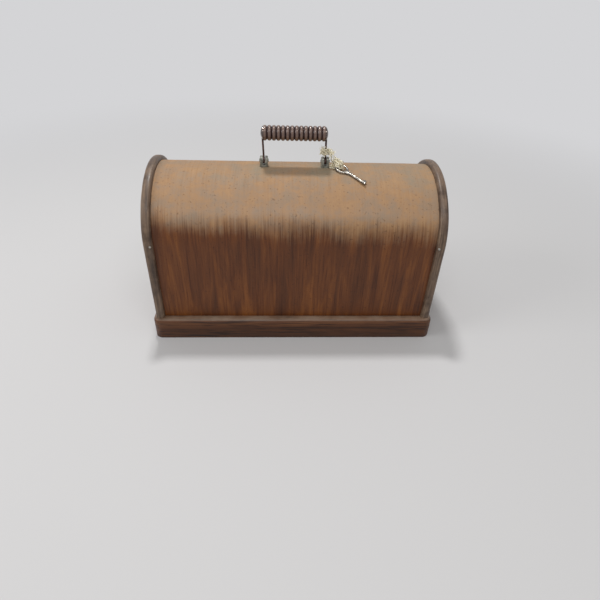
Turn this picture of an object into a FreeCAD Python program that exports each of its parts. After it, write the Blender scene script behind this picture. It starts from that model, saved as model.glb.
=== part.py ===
"""Domed bentwood cover for a three-quarter-size hand sewing machine.

Frame: origin at the centre of the bottom face, X along the length, +Y to the back, +Z up. Millimetres.
The cover stands on a frame of four mitred rails. A bent plywood shell and two arched end panels stand
in the frame's rebate, bent rims bind the ends, a bail handle folds on two lugs, and a lock in the
right-hand rail turns a hook out below the frame. Its key hangs from the handle on a string.
"""
import FreeCAD, Part
import math
import os
import re

import Sketcher
from FreeCAD import Placement, Rotation, Vector

doc = FreeCAD.newDocument("cover_box")

# The driving sizes. Each is set here once, and every piece below is bound to these cells.
SIZES = (
    ("cover_length", 440.0, "bottom frame, end to end"),
    ("cover_depth", 217.0, "bottom frame, front to back"),
    ("frame_rise", 35.0, "height of the rails"),
    ("rail_thick", 19.5, "thickness of the rails"),
    ("corner_round", 12.0, "radius of the frame's corners, seen from above"),
    ("edge_round", 5.0, "rounded upper outer edge of the rails"),
    ("ledge_wide", 12.5, "rail top that shows outside the shell"),
    ("rebate_deep", 12.0, "rebate that the shell and end panels stand in"),
    ("block_leg", 16.0, "glue block, along each rail"),
    ("ply_thick", 5.0, "bent plywood of the shell"),
    ("panel_thick", 7.5, "end panels"),
    ("side_rise", 160.0, "height where the sides start to bend"),
    ("shoulder_bend", 70.0, "outer radius of the shell's shoulders"),
    ("shoulder_turn", 38.0, "degrees that each shoulder turns before the flatter crown"),
    ("rim_inset", 5.0, "rim's outer face, in from the end of the frame"),
    ("rim_wide", 13.0, "rim, along the length"),
    ("rim_proud", 7.0, "rim above the shell"),
    ("rim_lip_wide", 7.0, "part of the rim that covers the shell's cut edge"),
    ("rim_lip_deep", 11.0, "how far the lip reaches in from the shell's outer face"),
    ("rim_round", 4.8, "rounding of the rim's outer edges"),
    ("pin_rise", 162.0, "height of the pins in the rims' legs"),
    ("pin_shank", 1.6, "diameter of the rim pins"),
    ("pin_head", 3.6, "diameter of the rim pins' heads"),
    ("handle_shift", -2.1, "middle between the lugs, along the length"),
    ("lug_span", 90.4, "between the two lugs' centres"),
    ("lug_wide", 11.5, "lug, along the length"),
    ("lug_deep", 12.0, "lug, front to back"),
    ("ear_round", 1.5, "rounding of the ears' outer edges"),
    ("pivot_rise", 8.2, "handle's pivot above the shell's crown"),
    ("fork_gap", 3.8, "slot between a lug's ears"),
    ("fork_floor", 5.6, "slot floor below the pivot"),
    ("pivot_pin", 3.2, "diameter of the lug pins"),
    ("pivot_head", 5.6, "diameter of the lug pins' heads"),
    ("pivot_head_high", 1.2, "height of the lug pins' heads"),
    ("run_gap", 0.05, "running clearance on a radius"),
    ("stud_thick", 5.0, "diameter of the stud under each lug"),
    ("stud_extra", 2.0, "stud beyond its nut"),
    ("nut_flats", 8.0, "nut, across the flats"),
    ("nut_high", 4.0, "height of the nut"),
    ("plate_long", 34.0, "backing plate, along the length"),
    ("plate_wide", 20.0, "backing plate, front to back"),
    ("plate_thin", 1.5, "backing plate's sheet"),
    ("plate_seat", 0.2, "clearance between the backing plates and the shell"),
    ("rod_thick", 2.8, "diameter of the handle's rod"),
    ("rod_bend", 2.0, "radius of the rod's two bends"),
    ("leg_rise", 39.9, "pivot to the grip's axis"),
    ("legs_apart", 91.8, "between the legs' axes at the grip"),
    ("top_shift", -1.2, "grip's centre, from the middle between the lugs"),
    ("eye_round", 4.6, "radius of the rod's eyes"),
    ("eye_thick", 2.8, "width of the rod's eyes"),
    ("grip_play", 0.6, "between the wooden grip's ends and the legs"),
    ("grip_thick", 21.2, "grip over its rings"),
    ("ring_count", 14.0, "rings turned on the grip"),
    ("ring_end", 1.65, "grip beyond the crests of its end rings"),
    ("ring_deep", 2.2, "depth of the grooves between the rings"),
    ("bore_flare", 0.6, "flare of the grip's bore at its ends, on a radius"),
    ("cap_gap", 0.1, "between the grip's ends and the caps"),
    ("cap_thick", 4.4, "domed caps over the rod's bends, at their middle"),
    ("cap_rim", 1.8, "domed caps, at their rims"),
    ("cap_round", 0.8, "rounding of the caps' rims"),
    ("cap_wide", 18.6, "diameter of the caps"),
    ("slot_room", 0.2, "clearance of the rod in the caps' slots"),
    ("hub_rise", 14.0, "height of the keyhole and the lock's hub"),
    ("hub_thick", 9.0, "diameter of the hub"),
    ("hub_tail", 5.0, "diameter of the hub's rear journal"),
    ("hook_reach", 20.0, "radius that the hook's outer edge turns on"),
    ("hook_ring", 5.0, "width of the hook's curved arm"),
    ("hook_boss", 7.5, "radius of the hook round the hub"),
    ("hook_thin", 2.4, "thickness of the hook"),
    ("lock_ear", 8.0, "lock plate beyond its case at each end"),
    ("lock_high", 31.5, "lock plate's height"),
    ("lock_lift", 1.5, "lock plate above the frame's bottom face"),
    ("lock_sheet", 1.5, "lock plate's thickness"),
    ("case_long", 50.0, "lock case, front to back"),
    ("case_deep", 9.0, "lock case, away from the rail"),
    ("case_wall", 1.2, "lock case's sheet"),
    ("key_hole", 5.4, "diameter of the keyhole's round part"),
    ("key_slot", 2.6, "width of the keyhole's slot"),
    ("key_drop", 6.0, "slot's end below the keyhole's centre"),
    ("socket_deep", 6.0, "depth of the key's socket in the hub"),
    ("guard_wide", 15.0, "keyhole plate's width"),
    ("guard_high", 27.0, "keyhole plate's height"),
    ("guard_thin", 1.2, "keyhole plate's thickness"),
    ("screw_thick", 3.0, "diameter of the screws' shanks"),
    ("screw_head", 5.8, "diameter of the screws' heads"),
    ("screw_high", 1.7, "height of the screws' heads"),
    ("screw_long", 11.0, "screws, under the head"),
    ("screw_in", 4.0, "screws' axes in from a plate's edges"),
    ("tack_thick", 1.4, "diameter of the keyhole plate's pins"),
    ("tack_head", 2.8, "diameter of those pins' heads"),
    ("tack_long", 8.0, "those pins, under the head"),
    ("tack_in", 2.7, "those pins' axes in from the plate's ends"),
    ("catch_long", 46.0, "catch plate, front to back"),
    ("catch_high", 20.0, "catch plate's height"),
    ("catch_slot", 16.0, "length of the catch plate's slot"),
    ("catch_mouth", 5.0, "height of the catch plate's slot"),
    ("key_long", 46.0, "key, from its bow's centre to its tip"),
    ("key_thick", 3.6, "diameter of the key's shank"),
    ("bow_wide", 17.5, "key's bow, across the shank"),
    ("bow_long", 21.0, "key's bow, along the shank"),
    ("bow_bar", 3.2, "width of the bow's ring"),
    ("bow_thin", 2.2, "thickness of the bow"),
    ("bit_long", 5.0, "key's bit, along the shank"),
    ("bit_reach", 5.2, "key's bit, out from the shank's axis"),
    ("bit_thin", 1.6, "thickness of the bit"),
    ("key_turn", 47.0, "degrees that the key points towards the front"),
    ("key_along", 82.55, "where the key touches the dome, along the length"),
    ("key_down", 29.5, "where the key touches the dome, in front of the crown"),
    ("lie_gap", 0.3, "clearance under what lies on the dome"),
    ("string_thick", 1.8, "diameter of the string"),
    ("wrap_rise", 17.3, "height above the pivot where the string's top turn starts"),
    ("wrap_drop", 2.5, "drop of each turn of the string"),
    ("wrap_count", 2.0, "turns round the leg"),
)
sheet = doc.addObject("Spreadsheet::Sheet", "Sizes")
for row, (name, size, note) in enumerate(SIZES, 1):
    sheet.set(f"A{row}", note)
    sheet.set(f"B{row}", str(size))
    sheet.setAlias(f"B{row}", name)
doc.recompute()

# Places that follow from the driving sizes, as formulas.
WORKED = {
    "half_length": "(cover_length / 2)",
    "half_depth": "(cover_depth / 2)",
    "rebate_floor": "(frame_rise - rebate_deep)",
    "shell_half": "(half_depth - ledge_wide)",
    "shell_end": "(half_length - rim_inset - rim_lip_wide)",
    "rim_face": "(half_length - rim_inset)",
    "bend_in": "(shell_half - shoulder_bend)",
    "crown_bend": "(shoulder_bend + bend_in / cos(shoulder_turn * 1deg))",
    "crown_heart": "(side_rise - bend_in * tan(shoulder_turn * 1deg))",
    "crown_rise": "(crown_heart + crown_bend)",
    "inner_x": "(half_length - rail_thick)",
    "inner_y": "(half_depth - rail_thick)",
    "pivot_z": "(crown_rise + pivot_rise)",
    "grip_z": "(pivot_z + leg_rise)",
    "lug_half": "(lug_deep / 2)",
    "top_left": "(legs_apart / 2 - top_shift)",
    "top_right": "(legs_apart / 2 + top_shift)",
    "lean_left": "((top_left - lug_span / 2) / leg_rise)",
    "lean_right": "((top_right - lug_span / 2) / leg_rise)",
    "grip_x": "(handle_shift + top_shift)",
    "grip_half": "(legs_apart / 2 - rod_thick / 2 - grip_play)",
    "ring_step": "((grip_half - ring_end) * 2 / (ring_count - 1))",
    "ring_bulge": "((ring_step ^ 2 / 4 + ring_deep ^ 2) / ring_deep / 2)",
    "ring_heart": "(grip_thick / 2 - ring_bulge)",
    "ring_valley": "(grip_thick / 2 - ring_deep)",
    "ring_last": "(ring_heart + sqrt(ring_bulge ^ 2 - ring_end ^ 2))",
    "cap_half": "(cap_wide / 2)",
    "cap_face": "(grip_half + cap_gap)",
    "cap_flat": "(cap_half - cap_round)",
    "cap_bend": "(cap_flat ^ 2 / (cap_thick - cap_rim) / 2 + (cap_thick - cap_rim) / 2)",
    "vault": "(crown_bend - ply_thick)",
    "plate_crown": "(vault - plate_seat)",
    "plate_vault": "(plate_crown - plate_thin)",
    "nut_top": "(crown_heart + sqrt(plate_vault ^ 2 - nut_flats ^ 2 / 3))",
    "lock_long": "(case_long + lock_ear * 2)",
    "lock_x": "(inner_x - lock_sheet)",
    "case_x": "(lock_x - case_deep)",
    "hook_x": "(lock_x - case_deep / 2)",
    "guard_x": "(half_length - guard_thin)",
    "guard_side": "(guard_wide / 2)",
    "guard_end": "(guard_high / 2 - guard_wide / 2)",
    "case_top": "(lock_lift + lock_high)",
    "catch_z": "(lock_lift + catch_high / 2)",
}


def linked(text, prefix="Sizes."):
    """Write a formula of our own names as one that the document understands."""
    def swap(match):
        word = match.group(0)
        if word in WORKED:
            return linked(WORKED[word], prefix)
        return prefix + word if word in NAMES else word
    return re.sub(r"[a-z_]+[a-z]", swap, str(text))


NAMES = {name for name, size, note in SIZES}


def value(text):
    return float(sheet.evalExpression(linked(text)))


def bind(thing, **formulas):
    """Bind properties to formulas. A double underscore stands for a dot."""
    for path, text in formulas.items():
        thing.setExpression(path.replace("__", "."), linked(text))


def new_body(label):
    body = doc.addObject("PartDesign::Body", label)
    body.Label = label
    body.AllowCompound = True
    return body


def new_sketch(body, plane, out="0"):
    """A sketch on one of the body's own origin planes, moved out along the plane's normal."""
    sketch = body.newObject("Sketcher::SketchObject", "outline")
    face = [piece for piece in body.Origin.OriginFeatures if piece.Role == plane][0]
    sketch.AttachmentSupport = [(face, "")]
    sketch.MapMode = "FlatFace"
    bind(sketch, AttachmentOffset__Base__z=out)
    return sketch


def swing(start, end, radius):
    """The arc from start to end that turns left, with the given radius."""
    across = end - start
    reach = math.sqrt(radius ** 2 - (across.Length / 2) ** 2)
    left = Vector(-across.y, across.x, 0).normalize()
    heart = (start + end) / 2 + left * reach
    first = math.atan2(start.y - heart.y, start.x - heart.x)
    last = math.atan2(end.y - heart.y, end.x - heart.x)
    return Part.ArcOfCircle(Part.Circle(heart, Vector(0, 0, 1), radius), first, last)


def draw(sketch, corners, closed=True):
    """Join corners (x, y) with straight sides. (x, y, radius) starts an arc that turns left instead.

    A minus sign before the radius makes an arc that turns right.
    """
    first = sketch.GeometryCount
    spots = [Vector(value(corner[0]), value(corner[1]), 0) for corner in corners]
    count = len(spots) if closed else len(spots) - 1
    heads, tails = {}, {}
    for at in range(count):
        start, end = spots[at], spots[(at + 1) % len(spots)]
        heads[at], tails[at] = (first + at, 1), (first + at, 2)
        if len(corners[at]) == 2:
            sketch.addGeometry(Part.LineSegment(start, end), False)
        elif str(corners[at][2]).startswith("-"):
            sketch.addGeometry(swing(end, start, value(corners[at][2][1:])), False)
            heads[at], tails[at] = (first + at, 2), (first + at, 1)
        else:
            sketch.addGeometry(swing(start, end, value(corners[at][2])), False)
    rules, formulas = [], []
    for at in range(count if closed else count - 1):
        follow = (at + 1) % count
        rules.append(Sketcher.Constraint("Coincident", *tails[at], *heads[follow]))
        formulas.append(None)
    ends = [heads[at] for at in range(count)] + ([] if closed else [tails[count - 1]])
    for end, corner, spot in zip(ends, corners, spots):
        rules.append(Sketcher.Constraint("DistanceX", -1, 1, *end, spot.x))
        rules.append(Sketcher.Constraint("DistanceY", -1, 1, *end, spot.y))
        formulas += [corner[0], corner[1]]
    for at in range(count):
        if len(corners[at]) == 3:
            radius = str(corners[at][2]).lstrip("-")
            rules.append(Sketcher.Constraint("Radius", first + at, value(radius)))
            formulas.append(radius)
    numbers = sketch.addConstraint(rules)
    for number, text in zip(numbers, formulas):
        if text is not None:
            sketch.setExpression(f"Constraints[{number}]", linked(text))
    return sketch


def draw_circle(sketch, x, y, diameter):
    heart = Vector(value(x), value(y), 0)
    sketch.addGeometry(Part.Circle(heart, Vector(0, 0, 1), value(diameter) / 2), False)
    at = sketch.GeometryCount - 1
    for kind, text in (("DistanceX", x), ("DistanceY", y)):
        number = sketch.addConstraint(Sketcher.Constraint(kind, -1, 1, at, 3, value(text)))
        sketch.setExpression(f"Constraints[{number}]", linked(text))
    number = sketch.addConstraint(Sketcher.Constraint("Diameter", at, value(diameter)))
    sketch.setExpression(f"Constraints[{number}]", linked(diameter))
    return sketch


def grow(body, sketch, length, kind="PartDesign::Pad", backwards=False, both=False):
    """Pad or pocket a sketch along its plane's normal, backwards, or half each way."""
    step = body.newObject(kind, "step")
    step.Profile = sketch
    step.Type = "Length"
    bind(step, Length=length)
    step.SideType = "Symmetric" if both else "One side"
    if not both:
        cuts = kind.endswith("Pocket")
        step.Reversed = backwards != cuts
    sketch.Visibility = False
    doc.recompute()
    return step


def carve(body, sketch, length, backwards=False, both=False):
    before = body.Shape.Volume
    step = grow(body, sketch, length, "PartDesign::Pocket", backwards, both)
    if body.Shape.Volume >= before - 1e-6:
        raise ValueError(f"a cut in {body.Label} takes nothing away")
    return step


def turn(body, sketch, axis):
    """Revolve a profile about the sketch's own horizontal or vertical axis."""
    step = body.newObject("PartDesign::Revolution", "turned")
    step.Profile = sketch
    step.ReferenceAxis = (sketch, [axis])
    step.Angle = 360.0
    sketch.Visibility = False
    doc.recompute()
    return step


def soften(body, radius, wanted, kind="PartDesign::Fillet"):
    """Round or chamfer the edges that the test picks out."""
    edges = [f"Edge{at}" for at, edge in enumerate(body.Shape.Edges, 1) if wanted(edge)]
    before = body.Tip
    step = body.newObject(kind, "softened")
    step.Base = (before, edges)
    bind(step, **{"Radius" if kind.endswith("Fillet") else "Size": radius})
    doc.recompute()
    return step


def arch(out="0", foot="0"):
    """Corners of the cover's arch, moved outwards by a formula, with its feet at a height."""
    side = f"(shell_half + {out})"
    bend = f"(shoulder_bend + {out})"
    crown = f"(crown_bend + {out})"
    knee_x = f"(bend_in + {bend} * cos(shoulder_turn * 1deg))"
    knee_z = f"(side_rise + {bend} * sin(shoulder_turn * 1deg))"
    return (
        (side, foot),
        (side, "side_rise", bend),
        (knee_x, knee_z, crown),
        (f"-{knee_x}", knee_z, bend),
        (f"-{side}", "side_rise"),
        (f"-{side}", foot),
    )


def box_corners(x, y, x_start=None, y_start=None):
    left = x_start or f"-({x})"
    low = y_start or f"-({y})"
    return ((left, low), (x, low), (x, y), (left, y))


def key_way(body, plane, out, length):
    """Cut the keyhole: a round hole with a slot below it."""
    hole = draw_circle(new_sketch(body, plane, out), "0", "hub_rise", "key_hole")
    carve(body, hole, length, backwards=True)
    slot = draw(new_sketch(body, plane, out),
                box_corners("key_slot / 2", "hub_rise", y_start="hub_rise - key_drop"))
    carve(body, slot, length, backwards=True)


def near(first, second, room=1e-3):
    return abs(first - second) < room


# Bottom frame: four rails mitred at the corners. Each is the whole frame, masked to its own quarter.
def rail(label, mask):
    body = new_body(label)
    grow(body, draw(new_sketch(body, "XY_Plane"), box_corners("half_length", "half_depth")), "frame_rise")
    soften(body, "corner_round", lambda edge: near(edge.BoundBox.ZLength, value("frame_rise")))
    top = value("frame_rise")
    soften(body, "edge_round", lambda edge: near(edge.BoundBox.ZMin, top) and near(edge.BoundBox.ZMax, top))
    inside = draw(new_sketch(body, "XY_Plane"), box_corners("inner_x", "inner_y"))
    carve(body, inside, "frame_rise")
    rebate = draw(new_sketch(body, "XY_Plane", "frame_rise"), box_corners("shell_end", "shell_half"))
    carve(body, rebate, "rebate_deep", backwards=True)
    outside = new_sketch(body, "XY_Plane")
    draw(outside, box_corners("cover_length", "cover_depth"))
    draw(outside, mask)
    carve(body, outside, "frame_rise")
    return body


REACH = "rail_thick + 4"
OVER = "10"


def mask_corner(x_side, y_side, inwards):
    """A point on the mitre line through one outer corner of the frame."""
    move = f"- ({inwards})"
    return (f"{x_side}(half_length {move})", f"{y_side}(half_depth {move})")


LONG = {"front_rail": "-", "back_rail": ""}
for label, side in LONG.items():
    rail(label, (mask_corner("-", side, "-" + OVER), mask_corner("", side, "-" + OVER),
                 mask_corner("", side, REACH), mask_corner("-", side, REACH)))

right_rail = rail("right_rail", (mask_corner("", "-", "-" + OVER), mask_corner("", "", "-" + OVER),
                                 mask_corner("", "", REACH), mask_corner("", "-", REACH)))
left_rail = rail("left_rail", (mask_corner("-", "-", "-" + OVER), mask_corner("-", "", "-" + OVER),
                               mask_corner("-", "", REACH), mask_corner("-", "-", REACH)))

# Glue blocks: a triangle in each inside corner, under the rebate's floor.
for x_name, x_side in (("left", "-"), ("right", "")):
    for y_name, y_side in (("front", "-"), ("back", "")):
        body = new_body(f"{y_name}_{x_name}_block")
        draw_in = new_sketch(body, "XY_Plane", "lock_lift")
        draw(draw_in, ((f"{x_side}inner_x", f"{y_side}inner_y"),
                       (f"{x_side}(inner_x - block_leg)", f"{y_side}inner_y"),
                       (f"{x_side}inner_x", f"{y_side}(inner_y - block_leg)")))
        grow(body, draw_in, "rebate_floor - lock_lift")

# Shell: plywood bent over the arch, standing in the rebate.
shell = new_body("shell")
grow(shell, draw(new_sketch(shell, "YZ_Plane"), arch("0", "rebate_floor")), "shell_end * 2", both=True)
carve(shell, draw(new_sketch(shell, "YZ_Plane"), arch("-ply_thick", "0")), "cover_length", both=True)
for side in ("-", ""):
    stud_x = f"handle_shift {side or '+'} lug_span / 2"
    carve(shell, draw_circle(new_sketch(shell, "XY_Plane", "crown_rise"), stud_x, "0", "stud_thick"),
          "crown_bend", backwards=True)
    rim_middle = f"{side}(shell_end - (rim_wide - rim_lip_wide) / 2)"
    carve(shell, draw_circle(new_sketch(shell, "XZ_Plane"), rim_middle, "pin_rise", "pin_shank"),
          "cover_depth", both=True)

# End panels and the bent rims that bind them to the shell.
for label, side in (("left", "-"), ("right", "")):
    panel = new_body(f"{label}_end_panel")
    inner_face = f"{side}(shell_end - panel_thick)" if side == "" else "-shell_end"
    grow(panel, draw(new_sketch(panel, "YZ_Plane", inner_face), arch("-ply_thick", "rebate_floor")),
         "panel_thick")

    rim = new_body(f"{label}_rim")
    low_x = "-rim_face" if side else "(rim_face - rim_wide)"
    grow(rim, draw(new_sketch(rim, "YZ_Plane", low_x), arch("rim_proud", "frame_rise")), "rim_wide")
    crown = value("crown_bend + rim_proud")
    soften(rim, "rim_round", lambda edge: (hasattr(edge.Curve, "Radius") and near(edge.Curve.Radius, crown)
                                           and near(edge.BoundBox.XLength, 0)))
    carve(rim, draw(new_sketch(rim, "YZ_Plane", low_x), arch("-rim_lip_deep", "0")), "rim_wide",
          backwards=False)
    seat_x = "-shell_end" if side else low_x
    carve(rim, draw(new_sketch(rim, "YZ_Plane", seat_x), arch("0", "0")), "rim_wide - rim_lip_wide",
          backwards=False)
    rim_middle = f"{side}(shell_end - (rim_wide - rim_lip_wide) / 2)"
    carve(rim, draw_circle(new_sketch(rim, "XZ_Plane"), rim_middle, "pin_rise", "pin_shank"),
          "cover_depth", both=True)


def group(label, profile, places):
    """Like fasteners: one turned profile (along, out), seated head first at each place and direction."""
    plane = doc.addObject("Sketcher::SketchObject", f"{label}_profile")
    draw(plane, profile)
    plane.Visibility = False
    copies = []
    for spots, direction in places:
        copy = doc.addObject("Part::Revolution", f"{label}_copy")
        copy.Source = plane
        copy.Axis = (1, 0, 0)
        copy.Base = (0, 0, 0)
        copy.Angle = 360.0
        copy.Solid = True
        copy.Placement = Placement(Vector(0, 0, 0), Rotation(Vector(1, 0, 0), Vector(*direction)))
        for axis, text in zip("xyz", spots):
            copy.setExpression(f"Placement.Base.{axis}", linked(text))
        copies.append(copy)
    whole = doc.addObject("Part::Compound", label)
    whole.Label = label
    whole.Links = copies
    return whole


def pin_profile(shank, long, head, high):
    """Half section of a pin with a low domed head. It points along X, and its head's seat is at 0."""
    return (("0", "0", ), (long, "0"), (long, f"{shank} / 2"), ("0", f"{shank} / 2"), ("0", f"{head} / 2"),
            (f"-({high}) / 2", f"{head} * 0.44"), (f"-({high})", f"{head} * 0.22"), (f"-({high})", "0"))


rim_middle = "(shell_end - (rim_wide - rim_lip_wide) / 2)"
group("rim_pins", pin_profile("pin_shank", "rim_proud + ply_thick", "pin_head", "pin_head * 0.25"),
      [((side + rim_middle, f"{front}(shell_half + rim_proud)", "pin_rise"), (0, 1 if front else -1, 0))
       for side in ("-", "") for front in ("-", "")])

# Handle lugs: forks that stand on the crown, each with a stud through the shell to a plate and nut.
for label, side in (("left", "-"), ("right", "+")):
    lug_x = f"(handle_shift {side} lug_span / 2)"
    lug = new_body(f"{label}_lug")
    bind(lug, Placement__Base__x=lug_x)
    top = "(pivot_z + lug_half)"
    profile = (("-lug_half", "crown_rise - 2"), ("lug_half", "crown_rise - 2"),
               ("lug_half", f"{top} - lug_half * 0.6", "lug_half * 0.6"),
               ("lug_half * 0.4", f"{top}"), ("-lug_half * 0.4", f"{top}", "lug_half * 0.6"),
               ("-lug_half", f"{top} - lug_half * 0.6"))
    grow(lug, draw(new_sketch(lug, "YZ_Plane"), profile), "lug_wide", both=True)
    foot_z = value("crown_rise")
    soften(lug, "ear_round", lambda edge: near(edge.BoundBox.XLength, 0) and edge.BoundBox.ZMax > foot_z
           and not near(edge.BoundBox.YLength, value("lug_deep")))
    carve(lug, draw(new_sketch(lug, "XZ_Plane"),
                    box_corners("fork_gap / 2", f"{top} + 5", y_start="pivot_z - fork_floor")),
          "lug_deep * 2", both=True)
    bore = draw_circle(new_sketch(lug, "YZ_Plane"), "0", "pivot_z", "pivot_pin")
    carve(lug, bore, "lug_wide * 2", both=True)
    carve(lug, draw_circle(new_sketch(lug, "YZ_Plane"), "0", "crown_heart", "crown_bend * 2"),
          "lug_wide * 2", both=True)
    stud_low = "(nut_top - nut_high - stud_extra)"
    grow(lug, draw_circle(new_sketch(lug, "XY_Plane", stud_low), "0", "0", "stud_thick"),
         f"pivot_z - fork_floor - 0.5 - {stud_low}")

    pin = new_body(f"{label}_lug_pin")
    bind(pin, Placement__Base__x=lug_x, Placement__Base__z="pivot_z")
    ends, swell = "(lug_wide / 2 + pivot_head_high)", "(lug_wide / 2 + pivot_head_high / 2)"
    head = ((ends, "pivot_head * 0.3"), (swell, "pivot_head * 0.46"), ("lug_wide / 2", "pivot_head / 2"),
            ("lug_wide / 2", "pivot_pin / 2"))
    far_head = [("-" + along, out) for along, out in reversed(head)]
    turn(pin, draw(new_sketch(pin, "XZ_Plane"), (("-" + ends, "0"), (ends, "0"), *head, *far_head)), "H_Axis")

    plate = new_body(f"{label}_backing_plate")
    bind(plate, Placement__Base__x=lug_x)
    low = "(crown_heart + plate_vault / 2)"
    grow(plate, draw(new_sketch(plate, "XY_Plane", low), box_corners("plate_long / 2", "plate_wide / 2")),
         "vault")
    ring = new_sketch(plate, "YZ_Plane")
    draw_circle(ring, "0", "crown_heart", "plate_crown * 2")
    draw_circle(ring, "0", "crown_heart", "crown_bend * 6")
    carve(plate, ring, "plate_long * 2", both=True)
    carve(plate, draw_circle(new_sketch(plate, "YZ_Plane"), "0", "crown_heart", "plate_vault * 2"),
          "plate_long * 2", both=True)
    carve(plate, draw_circle(new_sketch(plate, "XY_Plane", "crown_rise"), "0", "0", "stud_thick"),
          "vault / 2", backwards=True)

    nut = new_body(f"{label}_nut")
    bind(nut, Placement__Base__x=lug_x)
    flat = "(nut_flats / 2)"
    point = "(nut_flats / sqrt(3))"
    hexagon = new_sketch(nut, "XY_Plane", "nut_top - nut_high")
    draw(hexagon, ((point, "0"), (f"{point} / 2", flat), (f"-{point} / 2", flat), (f"-{point}", "0"),
                   (f"-{point} / 2", f"-{flat}"), (f"{point} / 2", f"-{flat}")))
    draw_circle(hexagon, "0", "0", "stud_thick")
    grow(nut, hexagon, "nut_high")

# Bail: a bent steel rod with an eye at each foot. Its left leg leans out a little more than its right.
bail = new_body("bail_rod")
bind(bail, Placement__Base__x="handle_shift", Placement__Base__z="pivot_z")
foot = "(lug_span / 2)"
start_z = "(eye_round - 0.8)"


def leg(side, label):
    """The start of one leg, and the start and end of its bend, from the foot up."""
    top, lean = f"top_{label}", f"lean_{label}"
    slant = f"sqrt(1 + {lean} ^ 2)"
    back = f"(rod_bend * ({slant} + {lean}))"
    return ((f"{side}({foot} + {start_z} * {lean})", start_z),
            (f"{side}({top} - {back} * {lean} / {slant})", f"leg_rise - {back} / {slant}"),
            (f"{side}({top} - {back})", "leg_rise"))


start, low, high = leg("", "right")
far_start, far_low, far_high = leg("-", "left")
path = new_sketch(bail, "XZ_Plane")
draw(path, (start, (*low, "rod_bend"), high, (*far_high, "rod_bend"), far_low, far_start), closed=False)
section = draw_circle(new_sketch(bail, "XY_Plane", start_z), start[0], "0", "rod_thick")
doc.recompute()
rod = bail.newObject("PartDesign::AdditivePipe", "rod")
rod.Profile = section
rod.Spine = (path, [f"Edge{at}" for at in range(1, 6)])
doc.recompute()
for side in ("-", ""):
    eye = draw_circle(new_sketch(bail, "YZ_Plane", f"{side}{foot}"), "0", "0", "eye_round * 2")
    grow(bail, eye, "eye_thick", both=True)
for side in ("-", ""):
    hole = draw_circle(new_sketch(bail, "YZ_Plane", f"{side}{foot}"), "0", "0", "pivot_pin + run_gap * 2")
    carve(bail, hole, "eye_thick * 2", both=True)

# Grip: a turned wooden tube of rings, free on the rod. Its bore opens out a little at the ends.
grip = new_body("grip")
bind(grip, Placement__Base__x="grip_x", Placement__Base__z="grip_z")
count = round(value("ring_count"))
upper = [(f"(ring_step * {count / 2 - at})", "ring_valley", "ring_bulge") for at in range(1, count)]
wall = "(rod_thick / 2 + run_gap)"
mouth, neck = f"({wall} + bore_flare)", "(grip_half - bore_flare * 2)"
turn(grip, draw(new_sketch(grip, "XZ_Plane"), (
    ("-grip_half", mouth), (f"-{neck}", wall), (neck, wall), ("grip_half", mouth),
    ("grip_half", "ring_last", "ring_bulge"), *upper, ("-grip_half", "ring_last"))), "H_Axis")

# Caps: domed steel buttons pressed over the rod's bends, each slotted for its leg.
for label, side in (("left", "-"), ("right", "")):
    cap = new_body(f"{label}_grip_cap")
    bind(cap, Placement__Base__x="grip_x", Placement__Base__z="grip_z")
    rim, crown = f"{side}(cap_face + cap_rim)", f"{side}(cap_face + cap_thick)"
    face, band = f"{side}cap_face", f"{side}(cap_face + cap_rim - cap_round)"
    outline = [(face, "0"), (face, "cap_half"), (band, "cap_half", "cap_round"),
               (rim, "cap_flat", "cap_bend"), (crown, "0")]
    if not side:
        outline = [(face, "0"), (crown, "0", "cap_bend"), (rim, "cap_flat", "cap_round"), (band, "cap_half"),
                   (face, "cap_half")]
    turn(cap, draw(new_sketch(cap, "XZ_Plane"), outline), "H_Axis")
    slot_deep = "(grip_play - cap_gap + rod_thick + slot_room)"
    slot_half = "(rod_thick / 2 + slot_room / 2)"
    slot = new_sketch(cap, "YZ_Plane", f"{side}cap_face")
    draw(slot, (("-" + slot_half, "-cap_wide"), (slot_half, "-cap_wide"), (slot_half, "0", slot_half),
                ("0", slot_half, slot_half), ("-" + slot_half, "0")))
    carve(cap, slot, slot_deep, backwards=bool(side))

# Lock: plate and case on the right rail's inner face, a hub that the key turns, and its hook.
key_way(right_rail, "YZ_Plane", "cover_length", "cover_length")
SCREWS = [(f"{side}(lock_long / 2 - screw_in)", height) for side in ("-", "")
          for height in ("lock_lift + screw_in", "rebate_floor - screw_in")]
for spot in SCREWS:
    hole = draw_circle(new_sketch(right_rail, "YZ_Plane", "inner_x"), *spot, "screw_thick")
    carve(right_rail, hole, "screw_long - lock_sheet")
GUARD = (("guard_side", "hub_rise - guard_end"), ("guard_side", "hub_rise + guard_end", "guard_side"),
         ("0", "hub_rise + guard_high / 2", "guard_side"), ("-guard_side", "hub_rise + guard_end"),
         ("-guard_side", "hub_rise - guard_end", "guard_side"),
         ("0", "hub_rise - guard_high / 2", "guard_side"))
inlay = draw(new_sketch(right_rail, "YZ_Plane", "half_length"), GUARD)
carve(right_rail, inlay, "guard_thin", backwards=True)
TACKS = [("0", f"hub_rise {side} (guard_high / 2 - tack_in)") for side in ("+", "-")]
for spot in TACKS:
    hole = draw_circle(new_sketch(right_rail, "YZ_Plane", "guard_x"), *spot, "tack_thick")
    carve(right_rail, hole, "tack_long", backwards=True)

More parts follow.
